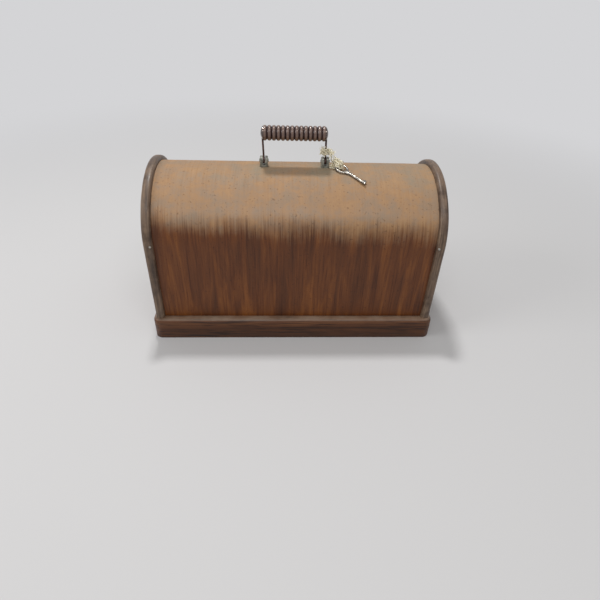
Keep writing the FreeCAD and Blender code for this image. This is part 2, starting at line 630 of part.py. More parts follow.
lock_plate = new_body("lock_plate")
grow(lock_plate, draw(new_sketch(lock_plate, "YZ_Plane", "lock_x"),
                      box_corners("lock_long / 2", "case_top", y_start="lock_lift")), "lock_sheet")
hole = draw_circle(new_sketch(lock_plate, "YZ_Plane", "lock_x"), "0", "hub_rise", "hub_thick + run_gap * 2")
carve(lock_plate, hole, "lock_sheet")
for spot in SCREWS:
    hole = draw_circle(new_sketch(lock_plate, "YZ_Plane", "lock_x"), *spot, "screw_thick")
    carve(lock_plate, hole, "lock_sheet")
group("lock_screws", pin_profile("screw_thick", "screw_long", "screw_head", "screw_high"),
      [(("lock_x", *spot), (1, 0, 0)) for spot in SCREWS])

lock_case = new_body("lock_case")
grow(lock_case, draw(new_sketch(lock_case, "YZ_Plane", "case_x"),
                     box_corners("case_long / 2", "case_top", y_start="lock_lift")), "case_deep")
inside = draw(new_sketch(lock_case, "YZ_Plane", "case_x + case_wall"),
              box_corners("case_long / 2 - case_wall", "case_top - case_wall", y_start="0"))
carve(lock_case, inside, "case_deep - case_wall")
hole = draw_circle(new_sketch(lock_case, "YZ_Plane", "case_x"), "0", "hub_rise", "hub_tail + run_gap * 2")
carve(lock_case, hole, "case_wall")

hub = new_body("lock_hub")
bind(hub, Placement__Base__z="hub_rise")
shoulder = "(case_x + case_wall + 0.3)"
grow(hub, draw_circle(new_sketch(hub, "YZ_Plane", "case_x"), "0", "0", "hub_tail"), "case_deep / 2")
grow(hub, draw_circle(new_sketch(hub, "YZ_Plane", shoulder), "0", "0", "hub_thick"),
     f"inner_x - 0.1 - {shoulder}")
hole = draw_circle(new_sketch(hub, "YZ_Plane", "inner_x"), "0", "0", "key_hole - 0.4")
carve(hub, hole, "socket_deep", backwards=True)
slot = draw(new_sketch(hub, "YZ_Plane", "inner_x"), box_corners("key_slot / 2", "0", y_start="-hub_thick"))
carve(hub, slot, "socket_deep", backwards=True)

hook = new_body("lock_hook")
bind(hook, Placement__Base__z="hub_rise")
hook_low = "(hook_x - hook_thin / 2)"
arm_in = "(hook_reach - hook_ring)"
TIP, BEND, ARM = -20, 22, 46


def polar(radius, degrees):
    return (f"({radius} * cos({degrees} * 1deg))", f"({radius} * sin({degrees} * 1deg))")


grow(hook, draw_circle(new_sketch(hook, "YZ_Plane", hook_low), "0", "0", "hook_boss * 2"), "hook_thin")
blade = (polar("(hook_boss - 2)", BEND), (*polar(arm_in, BEND), f"-{arm_in}"), polar(arm_in, TIP),
         (*polar("hook_reach", TIP), "hook_reach"), polar("hook_reach", ARM), polar("(hook_boss - 2)", ARM))
grow(hook, draw(new_sketch(hook, "YZ_Plane", hook_low), blade), "hook_thin")
hole = draw_circle(new_sketch(hook, "YZ_Plane", hook_low), "0", "0", "hub_thick")
carve(hook, hole, "hook_thin")

guard = new_body("keyhole_plate")
grow(guard, draw(new_sketch(guard, "YZ_Plane", "guard_x"), GUARD), "guard_thin")
key_way(guard, "YZ_Plane", "half_length", "guard_thin")
for spot in TACKS:
    hole = draw_circle(new_sketch(guard, "YZ_Plane", "guard_x"), *spot, "tack_head")
    carve(guard, hole, "guard_thin")
tack = (("-guard_thin", "0"), ("tack_long", "0"), ("tack_long", "tack_thick / 2"), ("0", "tack_thick / 2"),
        ("0", "tack_head / 2"), ("-guard_thin", "tack_head / 2"))
group("keyhole_plate_pins", tack, [(("guard_x", *spot), (-1, 0, 0)) for spot in TACKS])

# Catch plate: holds the cover's other end down on its base.
HOLD = [(f"{side}(catch_long / 2 - screw_in * 1.2)", "catch_z") for side in ("-", "")]
for spot in HOLD:
    hole = draw_circle(new_sketch(left_rail, "YZ_Plane", "-inner_x"), *spot, "screw_thick")
    carve(left_rail, hole, "screw_long - lock_sheet", backwards=True)
catch = new_body("catch_plate")
grow(catch, draw(new_sketch(catch, "YZ_Plane", "-inner_x"),
                 box_corners("catch_long / 2", "lock_lift + catch_high", y_start="lock_lift")), "lock_sheet")
MOUTH = box_corners("catch_slot / 2", "catch_z + catch_mouth / 2", y_start="catch_z - catch_mouth / 2")
carve(catch, draw(new_sketch(catch, "YZ_Plane", "-inner_x"), MOUTH), "lock_sheet")
for spot in HOLD:
    hole = draw_circle(new_sketch(catch, "YZ_Plane", "-inner_x"), *spot, "screw_thick")
    carve(catch, hole, "lock_sheet")
mortise = draw(new_sketch(left_rail, "YZ_Plane", "-inner_x"), MOUTH)
carve(left_rail, mortise, "rail_thick / 2", backwards=True)
group("catch_screws", pin_profile("screw_thick", "screw_long", "screw_head", "screw_high"),
      [(("-inner_x + lock_sheet", *spot), (-1, 0, 0)) for spot in HOLD])

# Key: modelled along X from its bow's centre, then laid on the dome.
key = new_body("key")
half_wide, half_long = "(bow_wide / 2)", "(bow_long / 2)"
ring = new_sketch(key, "XY_Plane", "-bow_thin / 2")
for inset in ("0", "bow_bar"):
    wide, long = f"({half_wide} - {inset})", f"({half_long} - {inset})"
    flat = f"({long} - {wide})"
    bend = f"({wide} * 1.04)"
    draw(ring, ((f"-{flat}", f"-{wide}"), (flat, f"-{wide}", bend), (long, "0", bend),
                (flat, wide), (f"-{flat}", wide, bend), (f"-{long}", "0", bend)))
grow(key, ring, "bow_thin")
neck = draw(new_sketch(key, "XY_Plane", "-bow_thin / 2"), (
    (f"{half_long} - bow_bar * 0.6", "-key_thick * 1.2"), (f"{half_long} + bow_bar * 2", "-key_thick * 0.45"),
    (f"{half_long} + bow_bar * 2", "key_thick * 0.45"), (f"{half_long} - bow_bar * 0.6", "key_thick * 1.2")))
grow(key, neck, "bow_thin")
turn(key, draw(new_sketch(key, "XZ_Plane"), (
    (f"{half_long} - bow_bar / 2", "0"), ("key_long", "0"), ("key_long", "key_thick / 2 - 0.5"),
    ("key_long - 0.5", "key_thick / 2"), (f"{half_long} + bow_bar * 2", "key_thick / 2"),
    (f"{half_long} - bow_bar / 2", "bow_thin / 2"))), "H_Axis")
bit = draw(new_sketch(key, "XY_Plane", "-bit_thin / 2"),
           box_corners("key_long - 2", "bit_reach", x_start="key_long - 2 - bit_long", y_start="0"))
grow(key, bit, "bit_thin")
carve(key, draw_circle(new_sketch(key, "YZ_Plane", "key_long"), "0", "0", "key_thick * 0.5"),
      "bit_long + 4", backwards=True)


def on_dome(down):
    """A point on the crown and the outward normal there, a distance in front of the ridge."""
    slope = math.asin(down / value("crown_bend"))
    normal = Vector(0, -math.sin(slope), math.cos(slope))
    return Vector(0, 0, value("crown_heart")) + normal * value("crown_bend"), normal


touch, up = on_dome(value("key_down"))
downhill = Vector(0, -up.z, up.y)
angle = math.radians(value("key_turn"))
along = Vector(math.cos(angle), 0, 0) + downhill * math.sin(angle)
middle = touch + Vector(value("key_along"), 0, 0) + up * (value("key_thick") / 2 + value("lie_gap"))
turned = Rotation(along, up.cross(along), up, "XZY")
key.Placement = Placement(middle - along * value("key_long") / 2, turned)

# String: straight runs joined by arcs, each as large as its two runs allow.


def cord(label, points, radii):
    """A round tube along a route. Prints the tightest bend and compares the volume."""
    edges, start = [], points[0]
    tightest = 1e9
    for before, here, after in zip(points, points[1:], points[2:]):
        into, out = (here - before), (after - here)
        half = into.getAngle(out) / 2
        radius = 0.45 * min(into.Length, out.Length) / math.tan(half)
        back = radius * math.tan(half)
        first = here - into.normalize() * back
        last = here + out.normalize() * back
        heart_way = (last - here).normalize() + (first - here).normalize()
        deep = back / math.sin(half) * (1 - math.cos(half))
        mid = here + heart_way.normalize() * deep
        edges.append(Part.LineSegment(start, first).toShape())
        edges.append(Part.Arc(first, mid, last).toShape())
        start = last
        tightest = min(tightest, radius)
        radii.append(round(radius, 1))
    edges.append(Part.LineSegment(start, points[-1]).toShape())
    wire = Part.Wire(edges)
    thick = value("string_thick")
    ring = Part.Wire(Part.Circle(points[0], points[1] - points[0], thick / 2).toShape())
    tube = wire.makePipeShell([ring], True, False)
    length = wire.Length
    ratio = tube.Volume / (math.pi * thick ** 2 / 4 * length)
    print(f"{label}: length {length:.1f}, tightest bend {tightest:.2f}, volume ratio {ratio:.4f}")
    piece = doc.addObject("Part::Feature", label)
    piece.Label = label
    piece.Shape = tube
    return piece


# The tie goes round the right leg and ends on the handle's own axis, so it turns with the handle.
leg_x = value("handle_shift + lug_span / 2 + (wrap_rise - wrap_drop) * lean_right")
pivot_z = value("pivot_z")
side = value("rod_thick / 2 + string_thick / 2 + lie_gap")
knot_x = value("handle_shift + lug_span / 2 + lug_wide / 2 + pivot_head_high + string_thick / 2 + lie_gap")
steps = round(4 * value("wrap_count"))
CORNERS = ((1, -1), (1, 1), (-1, 1), (-1, -1))
tie = []
for at in range(steps):
    across, away = CORNERS[at % 4]
    tie.append(Vector(leg_x + across * side, away * side,
                      pivot_z + value("wrap_rise") - value("wrap_drop") * at / 4))
low = tie[-1].z
bead = value("string_thick")
tie += [
    Vector(knot_x, -side, low - bead / 3),
    Vector(knot_x + bead * 0.45, -bead * 0.9, (low + pivot_z) / 2),
    Vector(knot_x + bead * 0.1, 0, pivot_z),
    Vector(knot_x + bead * 2.8, 0, pivot_z),
]
tie_radii = []
cord("string_tie", tie, tie_radii)
print("tie bends", tie_radii)

# The free run goes over the bow's rim, through the bow and back under it. Its points lie along,
# across and above the key from the bow's centre, as shares of the bow's width.
LACE = (
    (-0.730, 0.260, 0.125),
    (-0.500, 0.150, 0.145),
    (-0.255, 0.095, 0.140),
    (-0.255, 0.030, -0.145),
    (-0.510, -0.010, -0.150),
    (-0.770, -0.050, -0.200),
    (-0.900, -0.210, -0.235),
    (-0.860, -0.480, -0.205),
)
bow = value("bow_wide")
leave = tie[-1] + Vector(value("run_gap"), 0, 0)
free_run = [leave, leave + Vector(bead * 1.4, 0, 0)]
free_run += [key.Placement.multVec(Vector(*shares) * bow) for shares in LACE]
key_radii = []
cord("key_string", free_run, key_radii)
print("string bends", key_radii)

doc.recompute()
groups = [piece for piece in doc.Objects if piece.TypeId == "Part::Compound"]
cords = [piece for piece in doc.Objects if piece.TypeId == "Part::Feature"]
bodies = [piece for piece in doc.Objects if piece.TypeId == "PartDesign::Body"]
for piece in doc.Objects:
    if "Invalid" in piece.State or "Error" in piece.State:
        raise ValueError(f"{piece.Name} failed: {piece.State}")
nodes = bodies + groups + cords
for node in nodes:
    if node.Shape.isNull() or not node.Shape.isValid() or not node.Shape.Solids:
        raise ValueError(f"{node.Label} has no valid solid")
os.makedirs("parts", exist_ok=True)
for node in nodes:
    node.Shape.exportStep(f"parts/{node.Label}.step")
    print(node.Label, len(node.Shape.Solids), round(node.Shape.Volume, 1))
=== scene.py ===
import math
import random

import bmesh
import bpy
from mathutils import Matrix, Vector, noise


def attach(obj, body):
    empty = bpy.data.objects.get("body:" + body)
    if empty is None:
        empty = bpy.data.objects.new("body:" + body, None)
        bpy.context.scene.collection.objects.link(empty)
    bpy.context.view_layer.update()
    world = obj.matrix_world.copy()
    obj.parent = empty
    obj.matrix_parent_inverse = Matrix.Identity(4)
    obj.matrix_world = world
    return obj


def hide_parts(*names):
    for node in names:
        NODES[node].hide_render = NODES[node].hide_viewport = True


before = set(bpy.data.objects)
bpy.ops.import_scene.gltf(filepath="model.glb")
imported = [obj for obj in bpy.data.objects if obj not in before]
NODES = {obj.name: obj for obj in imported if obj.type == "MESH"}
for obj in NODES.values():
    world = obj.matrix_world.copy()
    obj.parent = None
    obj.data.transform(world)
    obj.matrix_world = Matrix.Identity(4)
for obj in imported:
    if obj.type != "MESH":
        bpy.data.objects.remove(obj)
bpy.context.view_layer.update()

# Bottom frame: four rails of stained hardwood, mitred and glued at the corners, with a rounded upper
# edge. The stain is dark on the faces. The flat ledge is painted greyer, partly for dust and handling and
# partly as a painted sheen of the light from above.
MM = 0.001
MERGE, EASE = 0.01 * MM, 0.5 * MM


def linear(colour):
    """An sRGB hex colour as linear numbers."""
    channels = [int(colour[at:at + 2], 16) / 255 for at in (1, 3, 5)]
    return [c / 12.92 if c <= 0.04045 else ((c + 0.055) / 1.055) ** 2.4 for c in channels] + [1.0]


def add(material, kind, inputs=None, stops=(), **settings):
    """Add a shader node with its settings, its inputs (values or sockets) and a ramp's stops."""
    tree = material.node_tree
    node = tree.nodes.new("ShaderNode" + kind)
    for name, setting in settings.items():
        setattr(node, name, setting)
    for name, given in (inputs or {}).items():
        if isinstance(given, bpy.types.NodeSocket):
            tree.links.new(given, node.inputs[name])
        else:
            node.inputs[name].default_value = given
    if stops:
        marks = node.color_ramp.elements
        marks[0].position, marks[1].position = stops[0][0], stops[-1][0]
        for place, colour in stops[1:-1]:
            marks.new(place)
        for mark, (place, colour) in zip(marks, stops):
            mark.color = linear(colour)
    return node


def start(name):
    """A node material with nothing in it yet."""
    material = bpy.data.materials.new(name)
    material.use_nodes = True
    material.node_tree.nodes.clear()
    return material


def finish_with(material, shader):
    """Join a shader to its material's output."""
    add(material, "OutputMaterial", {"Surface": shader.outputs[0]})
    return material


def stretched(material, scale):
    """Object coordinates in metres, stretched by a scale on each axis."""
    place = add(material, "TexCoord")
    return add(material, "Mapping", {"Vector": place.outputs["Object"], "Scale": scale}).outputs["Vector"]


def frame_wood(name, along):
    """Stained and shellacked hardwood, with its grain along one axis."""
    material = start(name)
    wide = [330.0, 330.0, 330.0]
    wide[along] = 9.0
    fine = [950.0, 950.0, 950.0]
    fine[along] = 30.0
    figure = add(material, "TexNoise", {"Vector": stretched(material, wide), "Scale": 0.35, "Detail": 5.0,
                                        "Roughness": 0.6, "Distortion": 0.5})
    tone = add(material, "ValToRGB", {"Fac": figure.outputs["Fac"]},
               stops=((0.3, "#3d2211"), (0.48, "#59341b"), (0.62, "#6e4526"), (0.8, "#815633")))
    pores = add(material, "TexNoise", {"Vector": stretched(material, fine), "Scale": 0.8, "Detail": 3.0})
    flecks = add(material, "ValToRGB", {"Fac": pores.outputs["Fac"]},
                 stops=((0.36, "#8a7d74"), (0.5, "#ffffff"), (0.7, "#fffaf2")))
    grained = add(material, "MixRGB", {"Fac": 1.0, "Color1": tone.outputs["Color"],
                                       "Color2": flecks.outputs["Color"]}, blend_type="MULTIPLY")
    # Upward faces are painted grey: partly dust and wear, partly a painted sheen of the light from above.
    shape = add(material, "NewGeometry")
    facing = add(material, "SeparateXYZ", {"Vector": shape.outputs["Normal"]})
    patches = add(material, "TexNoise", {"Vector": stretched(material, (1, 1, 1)), "Scale": 55.0,
                                         "Detail": 4.0})
    level = add(material, "MapRange", {"Value": facing.outputs["Z"], "From Min": 0.55, "From Max": 1.0})
    dust_and_sheen = add(material, "Math", {0: level.outputs["Result"], 1: patches.outputs["Fac"]},
                operation="MULTIPLY")
    dust_and_sheen_grey = add(material, "MixRGB", {"Fac": dust_and_sheen.outputs[0], "Color1": grained.outputs["Color"],
                                    "Color2": linear("#a3917f")})
    rough = add(material, "MapRange", {"Value": pores.outputs["Fac"], "To Min": 0.3, "To Max": 0.6})
    bump = add(material, "Bump", {"Height": pores.outputs["Fac"], "Strength": 0.35, "Distance": 0.0003})
    shader = add(material, "BsdfPrincipled", {
        "Base Color": dust_and_sheen_grey.outputs["Color"], "Roughness": rough.outputs["Result"], "IOR": 1.5,
        "Specular IOR Level": 0.35, "Normal": bump.outputs["Normal"], "Coat Weight": 0.12,
        "Coat Roughness": 0.3})
    return finish_with(material, shader)


def finish_node(name, material):
    """Give a CAD node its material."""
    NODES[name].data.materials.clear()
    NODES[name].data.materials.append(material)


def eased(node, name, material):
    """A copy of a CAD node's mesh, merged, with its sharp edges eased by hand, that stands for it."""
    mesh = bmesh.new()
    mesh.from_mesh(NODES[node].data)
    bmesh.ops.remove_doubles(mesh, verts=mesh.verts, dist=MERGE)
    bmesh.ops.dissolve_limit(mesh, angle_limit=math.radians(1.0), verts=mesh.verts, edges=mesh.edges)
    sharp = [edge for edge in mesh.edges
             if len(edge.link_faces) == 2 and edge.calc_face_angle(0.0) > math.radians(35)]
    bmesh.ops.bevel(mesh, geom=sharp, offset=EASE, offset_type="OFFSET", segments=2, profile=0.5,
                    affect="EDGES", clamp_overlap=True, material=-1)
    stand(mesh, name, material, "root", (node,))


def stand(mesh, name, material, body, replaced=()):
    """Turn a bmesh into a piece that rides on a body and stands for CAD nodes."""
    data = bpy.data.meshes.new(name)
    mesh.to_mesh(data)
    mesh.free()
    data.polygons.foreach_set("use_smooth", [True] * len(data.polygons))
    data.set_sharp_from_angle(angle=math.radians(40))
    piece = bpy.data.objects.new(name, data)
    bpy.context.scene.collection.objects.link(piece)
    data.materials.append(material)
    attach(piece, body)
    if replaced:
        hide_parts(*replaced)
    return piece


long_wood = frame_wood("stained_rail_wood_lengthways", 0)
cross_wood = frame_wood("stained_rail_wood_crossways", 1)
for label in ("front", "back"):
    eased(f"{label}_rail", f"{label}_rail_wood", long_wood)
for label in ("left", "right"):
    eased(f"{label}_rail", f"{label}_rail_wood", cross_wood)

# Glue blocks: triangles of bare softwood rubbed into the inside corners with hot glue, never stained,
# and browned with age.
bare = start("bare_softwood")
rings = add(bare, "TexNoise", {"Vector": stretched(bare, (300, 300, 14)), "Scale": 0.5, "Detail": 4.0})
tone = add(bare, "ValToRGB", {"Fac": rings.outputs["Fac"]},
           stops=((0.3, "#8f6c45"), (0.55, "#b08d5f"), (0.8, "#c4a576")))
bump = add(bare, "Bump", {"Height": rings.outputs["Fac"], "Strength": 0.4, "Distance": 0.0004})
bare_wood = finish_with(bare, add(bare, "BsdfPrincipled", {
    "Base Color": tone.outputs["Color"], "Roughness": 0.8, "Normal": bump.outputs["Normal"]}))
for y_side in ("front", "back"):
    for x_side in ("left", "right"):
        finish_node(f"{y_side}_{x_side}_block", bare_wood)

# Shell: plywood about 5 mm thick, steamed and bent over the ends, with its face veneer's grain running
# round the arch. Its colour is painted pale on the crown and dark down the sides: partly fading and dust,
# and partly painted light, standing for the lit top and the shine of the light above in the shellac.
HALF, SIDE_RISE, FOOT = 96.0 * MM, 160.0 * MM, 23.0 * MM
SHOULDER, CROWN, CROWN_HEART = 70.0 * MM, 102.994 * MM, 139.687 * MM
SHOULDER_TURN = math.radians(38)
SHELL_END, PLY = 208.0 * MM, 5.0 * MM
LUG_FEET = [(x * MM, -8.0 * MM, 242.5 * MM) for x in (-47.3, 43.1)]
UP_AND_BACK = (-1.0, 0.0, 0.0)


def carry(mesh, geom, moves):
    """Take a vertex or a profile along straight moves and round arcs, and leave edges or faces behind."""
    for heart, angle, travel, steps in moves:
        made = bmesh.ops.spin(mesh, geom=geom, cent=heart, axis=UP_AND_BACK, angle=angle,
                              dvec=Vector(travel) / steps, steps=steps, use_duplicate=False)
        geom = made["geom_last"]
    return geom


def arch_moves(foot, fine):
    """Up the front, round the shoulders and crown, and down the back, in steps of about a length."""
    straight = SIDE_RISE - foot
    inset = HALF - SHOULDER
    crown_turn = math.pi - 2 * SHOULDER_TURN
    rise = max(2, round(straight / fine))

    def around(turn, radius):
        return max(4, round(turn * radius / fine))

    return (
        ((0, 0, 0), 0.0, (0, 0, straight), rise),
        ((0, -inset, SIDE_RISE), SHOULDER_TURN, (0, 0, 0), around(SHOULDER_TURN, SHOULDER)),
        ((0, 0, CROWN_HEART), crown_turn, (0, 0, 0), around(crown_turn, CROWN)),
        ((0, inset, SIDE_RISE), SHOULDER_TURN, (0, 0, 0), around(SHOULDER_TURN, SHOULDER)),
        ((0, 0, 0), 0.0, (0, 0, -straight), rise),
    )


def veneer(name, scale_fine, scale_wide, faded_and_lit_heights):
    """Stained oak veneer under worn shellac. The scales stretch its grain, and faded_and_lit_heights gives
    the heights where it turns pale, partly faded and partly painted light.
    """
    material = start(name)
    spot = add(material, "TexCoord").outputs["Object"]
    along_and_up = add(material, "SeparateXYZ", {"Vector": spot})
    streaks = add(material, "TexNoise", {"Vector": stretched(material, scale_fine), "Scale": 1.0,
                                         "Detail": 4.0, "Roughness": 0.65})
    figure = add(material, "TexNoise", {"Vector": stretched(material, scale_wide), "Scale": 1.0,
                                        "Detail": 5.0, "Roughness": 0.6, "Distortion": 0.6})
    # Blotches about 25 mm wide, where the shellac has perished, with orange stain and grey wood between.
    blotches = add(material, "TexNoise", {"Vector": spot, "Scale": 38.0, "Detail": 9.0, "Roughness": 0.72})
    deep = add(material, "ValToRGB", {"Fac": figure.outputs["Fac"]},
               stops=((0.3, "#4a2508"), (0.5, "#643611"), (0.7, "#824d1c")))
    pale = add(material, "ValToRGB", {"Fac": blotches.outputs["Fac"]},
               stops=((0.34, "#8d7964"), (0.47, "#987c61"), (0.56, "#a07d5a"), (0.68, "#a7835d")))
    # The pale part ends in short streaks along the grain, lower towards the right. This edge is a painted
    # reflection, where the shine of the light above gives way to the dark sides.
    clouds = add(material, "TexNoise", {"Vector": spot, "Scale": 13.0, "Detail": 5.0, "Roughness": 0.6})
    sway = add(material, "Math", {0: clouds.outputs["Fac"], 1: 0.045, 2: -0.0225}, operation="MULTIPLY_ADD")
    ragged = add(material, "Math", {0: streaks.outputs["Fac"], 1: 0.03, 2: -0.015}, operation="MULTIPLY_ADD")
    lean = add(material, "Math", {0: along_and_up.outputs["X"], 1: 0.05, 2: sway.outputs[0]},
               operation="MULTIPLY_ADD")
    broken = add(material, "Math", {0: lean.outputs[0], 1: ragged.outputs[0]}, operation="ADD")
    swayed = add(material, "Math", {0: along_and_up.outputs["Z"], 1: broken.outputs[0]}, operation="ADD")
    # Pale above and dark below: partly fading, and partly painted light from above with its painted
    # reflection.
    faded_and_lit = add(material, "MapRange", {"Value": swayed.outputs[0], "From Min": faded_and_lit_heights[0],
                                      "From Max": faded_and_lit_heights[1]}, interpolation_type="SMOOTHSTEP")
    wood = add(material, "MixRGB", {"Fac": faded_and_lit.outputs["Result"], "Color1": deep.outputs["Color"],
                                    "Color2": pale.outputs["Color"]})
    lines = add(material, "ValToRGB", {"Fac": streaks.outputs["Fac"]},
                stops=((0.3, "#b5a08a"), (0.48, "#f3ebe2"), (0.7, "#ffffff")))
    even = add(material, "MapRange", {"Value": faded_and_lit.outputs["Result"], "To Min": 0.9, "To Max": 0.15})
    grained = add(material, "MixRGB", {"Fac": even.outputs["Result"], "Color1": wood.outputs["Color"],
                                       "Color2": lines.outputs["Color"]}, blend_type="MULTIPLY")
    # Dark flecks of dirt, 1 to 3 mm across, sit in dents.
    dents = add(material, "TexNoise", {"Vector": spot, "Scale": 300.0, "Detail": 2.0})
    flecks = add(material, "ValToRGB", {"Fac": dents.outputs["Fac"]},
                 stops=((0.27, "#8d7660"), (0.37, "#ffffff"), (1.0, "#ffffff")))
    dirty = add(material, "MixRGB", {"Fac": 0.5, "Color1": grained.outputs["Color"],
                                     "Color2": flecks.outputs["Color"]}, blend_type="MULTIPLY")
    # Grey-green is painted along the crown, partly grime and partly the painted grey shine of the light
    # above, and thicker round each lug, where it is grime.
    high = add(material, "MapRange", {"Value": swayed.outputs[0], "From Min": 0.228, "From Max": 0.25,
                                      "To Max": 0.3})
    grime_and_sheen = high.outputs["Result"]
    for foot in LUG_FEET:
        away = add(material, "VectorMath", {0: spot, 1: foot}, operation="DISTANCE")
        near = add(material, "MapRange", {"Value": away.outputs["Value"], "From Min": 0.01, "From Max": 0.032,
                                          "To Min": 0.4, "To Max": 0.0})
        grime_and_sheen = add(material, "Math", {0: grime_and_sheen, 1: near.outputs["Result"]}, operation="ADD").outputs[0]
    smudged = add(material, "MapRange", {"Value": blotches.outputs["Fac"], "From Min": 0.35, "From Max": 0.65,
                                         "To Min": 1.2, "To Max": 0.5})
    green = add(material, "Math", {0: grime_and_sheen, 1: smudged.outputs["Result"]}, operation="MULTIPLY")
    aged = add(material, "MixRGB", {"Fac": green.outputs[0], "Color1": dirty.outputs["Color"],
                                    "Color2": linear("#877f6c")})
    # The shellac has gone dull on the crown, and shines where the shoulder is handled.
    satin = add(material, "MapRange", {"Value": streaks.outputs["Fac"], "From Min": 0.3, "From Max": 0.7,
                                       "To Min": 0.56, "To Max": 0.34})
    dull = add(material, "MapRange", {"Value": swayed.outputs[0], "From Min": 0.208, "From Max": 0.226,
                                      "To Max": 0.25})
    rough = add(material, "Math", {0: satin.outputs["Result"], 1: dull.outputs["Result"]}, operation="ADD")
    bump = add(material, "Bump", {"Height": streaks.outputs["Fac"], "Strength": 0.2, "Distance": 0.0003})
    shader = add(material, "BsdfPrincipled", {
        "Base Color": aged.outputs["Color"], "Roughness": rough.outputs[0], "IOR": 1.5,
        "Specular IOR Level": 0.4, "Normal": bump.outputs["Normal"]})
    return finish_with(material, shader)


shell_veneer = veneer("shellacked_oak_veneer_round_the_arch", (520, 16, 16), (62, 7, 7), (0.167, 0.203))
mesh = bmesh.new()
first = mesh.verts.new((-SHELL_END, -HALF, FOOT))
LENGTH_STEPS, ARCH_STEP = 112, 4.0 * MM
bmesh.ops.spin(mesh, geom=[first], cent=(0, 0, 0), axis=UP_AND_BACK, angle=0.0,
               dvec=(2 * SHELL_END / LENGTH_STEPS, 0, 0), steps=LENGTH_STEPS, use_duplicate=False)
carry(mesh, list(mesh.verts) + list(mesh.edges), arch_moves(FOOT, ARCH_STEP))
bmesh.ops.remove_doubles(mesh, verts=mesh.verts, dist=MERGE)
bmesh.ops.recalc_face_normals(mesh, faces=mesh.faces)
if sum(face.normal.z * face.calc_area() for face in mesh.faces) < 0:
    bmesh.ops.reverse_faces(mesh, faces=mesh.faces)
mesh.normal_update()
# The veneer ripples along its grain and swells with the plies, by so many waves a metre.
WAVE, ACROSS, ALONG, SWELLS = 0.25 * MM, 90, 7, 14
for vert in mesh.verts:
    ripple = noise.noise(Vector((vert.co.x * ACROSS, vert.co.y * ALONG, vert.co.z * ALONG)))
    swell = noise.noise(vert.co * SWELLS)
    vert.co += vert.normal * WAVE * (ripple * 0.5 + swell)
shell = stand(mesh, "shell_plywood", shell_veneer, "root", ("shell",))
wall = shell.modifiers.new("ply", "SOLIDIFY")
wall.thickness, wall.offset = PLY, -1.0

# End panels: flat arched boards that the shell is bent over and pinned to. They are veneered and stained
# like it, with their grain upright.
# Like the shell, they are painted paler higher up, partly fading and partly painted light from above.
panel_veneer = veneer("shellacked_oak_veneer_upright", (520, 520, 16), (62, 62, 7), (0.10, 0.32))
for label in ("left", "right"):
    finish_node(f"{label}_end_panel", panel_veneer)

# Rims: bent hardwood mouldings that bind the shell's ends. A lip covers the plywood's edge. The outer
# edges are round and worn, and the stain has gone grey-brown.
RIM_FACE, RIM_WIDE, LIP_WIDE = 215.0 * MM, 13.0 * MM, 7.0 * MM
PROUD, LIP_DEEP, RIM_ROUND, RIM_FOOT = 7.0 * MM, 11.0 * MM, 4.8 * MM, 35.0 * MM
WEAR_DEEP, DENTS = 0.15 * MM, 45
rim_wood = start("worn_stained_rim_wood")
place = add(rim_wood, "TexCoord")
long_grain = add(rim_wood, "TexNoise", {"Vector": stretched(rim_wood, (480, 22, 22)), "Scale": 1.0,
                                        "Detail": 5.0, "Roughness": 0.65})
tone = add(rim_wood, "ValToRGB", {"Fac": long_grain.outputs["Fac"]},
           stops=((0.3, "#43342a"), (0.5, "#695545"), (0.65, "#806b57"), (0.8, "#99826b")))
patches = add(rim_wood, "TexNoise", {"Vector": place.outputs["Object"], "Scale": 38.0, "Detail": 5.0,
                                     "Roughness": 0.65})
wear = add(rim_wood, "ValToRGB", {"Fac": patches.outputs["Fac"]},
           stops=((0.35, "#8f7f74"), (0.55, "#ffffff"), (0.75, "#fff2e0")))
tone_mix = add(rim_wood, "MixRGB", {"Fac": 0.8, "Color1": tone.outputs["Color"],
                                "Color2": wear.outputs["Color"]}, blend_type="MULTIPLY")
rough = add(rim_wood, "MapRange", {"Value": patches.outputs["Fac"], "From Min": 0.3, "From Max": 0.7,
                                   "To Min": 0.35, "To Max": 0.6})
bump = add(rim_wood, "Bump", {"Height": long_grain.outputs["Fac"], "Strength": 0.35, "Distance": 0.0004})
rim_finish = finish_with(rim_wood, add(rim_wood, "BsdfPrincipled", {
    "Base Color": tone_mix.outputs["Color"], "Roughness": rough.outputs["Result"], "IOR": 1.5,
    "Specular IOR Level": 0.4, "Normal": bump.outputs["Normal"], "Coat Weight": 0.12, "Coat Roughness": 0.3}))
for label, side in (("left", -1), ("right", 1)):
    mesh = bmesh.new()
    inner = RIM_FACE - RIM_WIDE
    seat = RIM_FACE - LIP_WIDE
    corners = ((seat, 0), (inner, 0), (inner, PROUD), (RIM_FACE, PROUD), (RIM_FACE, -LIP_DEEP),
               (seat, -LIP_DEEP))
    ring = [mesh.verts.new((side * x, -(HALF + out), RIM_FOOT)) for x, out in corners]
    mesh.faces.new(ring)
    bmesh.ops.bevel(mesh, geom=[ring[2], ring[3]], offset=RIM_ROUND, offset_type="OFFSET", segments=6,
                    profile=0.5, affect="VERTICES", clamp_overlap=True, material=-1)
    outline = list(mesh.verts) + list(mesh.edges)
    bmesh.ops.delete(mesh, geom=list(mesh.faces), context="FACES_ONLY")
    carry(mesh, outline, arch_moves(RIM_FOOT, ARCH_STEP))
    bmesh.ops.holes_fill(mesh, edges=[edge for edge in mesh.edges if edge.is_boundary], sides=0)
    bmesh.ops.remove_doubles(mesh, verts=mesh.verts, dist=MERGE)
    bmesh.ops.recalc_face_normals(mesh, faces=mesh.faces)
    mesh.normal_update()
    for vert in mesh.verts:
        if vert.co.z > RIM_FOOT + MM:
            vert.co += vert.normal * WEAR_DEEP * noise.noise(vert.co * DENTS + Vector((side * 3, 0, 0)))
    stand(mesh, f"{label}_rim_moulding", rim_finish, "root", (f"{label}_rim",))


